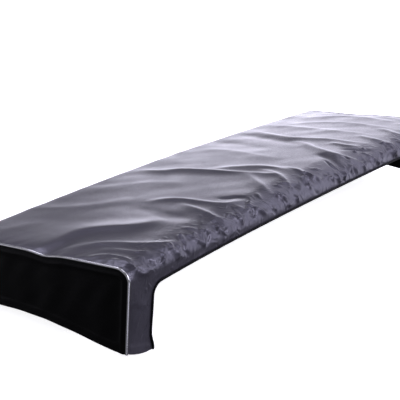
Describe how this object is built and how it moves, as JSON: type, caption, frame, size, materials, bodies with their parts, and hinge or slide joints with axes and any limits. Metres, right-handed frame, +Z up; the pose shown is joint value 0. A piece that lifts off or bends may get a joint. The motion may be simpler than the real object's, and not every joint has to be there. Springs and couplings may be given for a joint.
{
  "type": "padded keyboard cover",
  "caption": "Fitted padded dust cover, hollow and open below, closed at both ends and along one long side, with a bound cut-out between two legs along the other, and piped end seams.",
  "frame": {"origin": "middle of the flat underside of the top, which rests on what is covered", "axes": "+X along the length towards the far end, +Y from the side with the cut-out to the closed side, +Z up"},
  "size_m": [0.993, 0.3586, 0.1555],
  "materials": {
    "slate_nylon": "satin, coated plain-weave nylon",
    "black_nylon": "satin, coated plain-weave nylon",
    "black_piping": "smooth cloth-covered cord",
    "black_tape": "woven binding tape"
  },
  "bodies": {
    "root": {"shell": "slate_nylon", "end_panel_near": "black_nylon", "end_panel_far": "black_nylon", "piping_near": "black_piping", "piping_far": "black_piping", "cutout_binding": "black_tape"}
  },
  "joints": []
}
